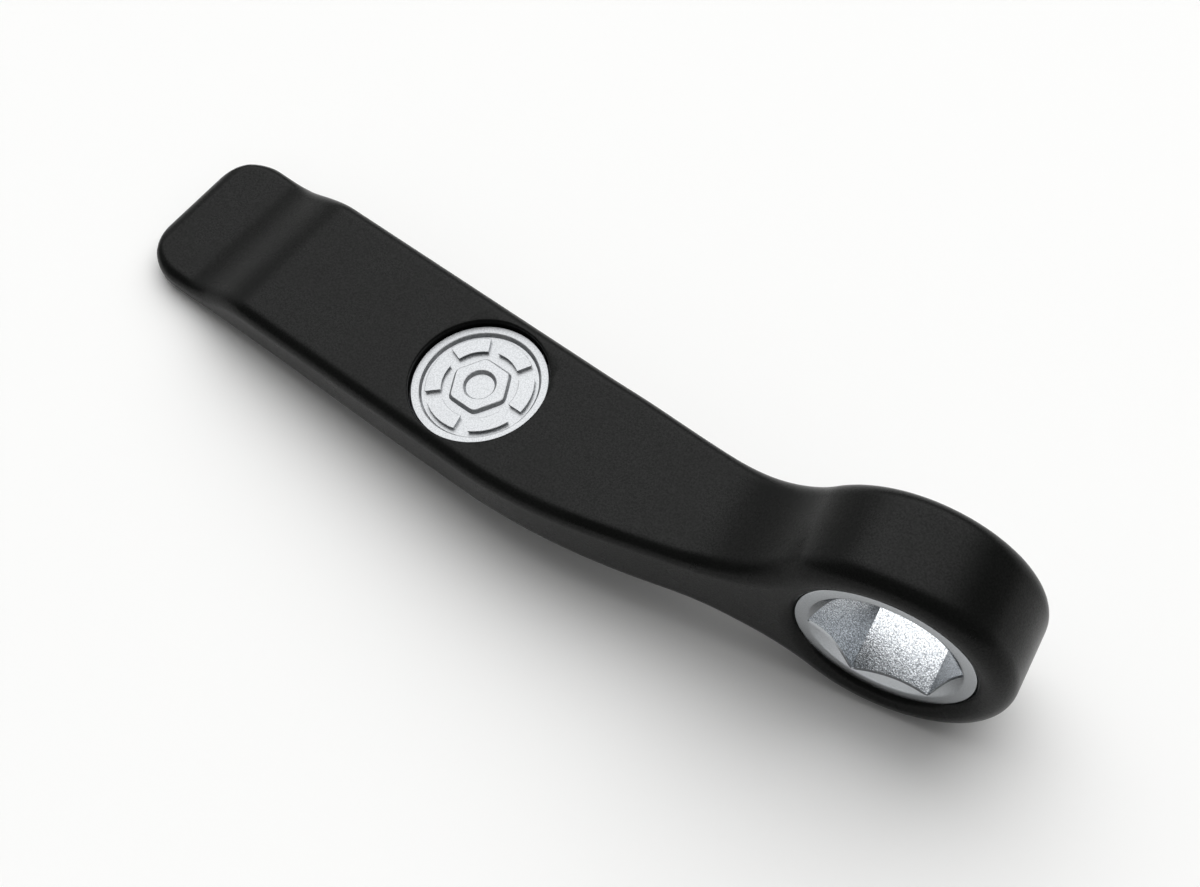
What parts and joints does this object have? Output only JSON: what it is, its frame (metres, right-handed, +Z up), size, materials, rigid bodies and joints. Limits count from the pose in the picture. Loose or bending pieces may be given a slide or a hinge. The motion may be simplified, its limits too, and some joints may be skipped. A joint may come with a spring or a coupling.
{
  "type": "tyre lever with ring wrench",
  "caption": "Pocket tyre lever with an offset hexagon ring wrench: a black nylon jacket over a forged steel core, a plated socket bush and a round metal emblem.",
  "frame": {"origin": "on the bench that the lever lies on, under the middle of its box", "axes": "+X towards the ring along the lever's length, Y along the socket's axis, +Z up; the emblem faces up"},
  "size_m": [0.1146, 0.033, 0.0287],
  "materials": {
    "black_nylon": "satin",
    "forged_steel": "matte",
    "plated_steel": "satin",
    "bright_zinc": "satin"
  },
  "bodies": {
    "root": {"nylon_jacket": "black_nylon", "steel_core": "forged_steel", "hex_socket": "plated_steel", "emblem_disc": "bright_zinc"}
  },
  "joints": []
}
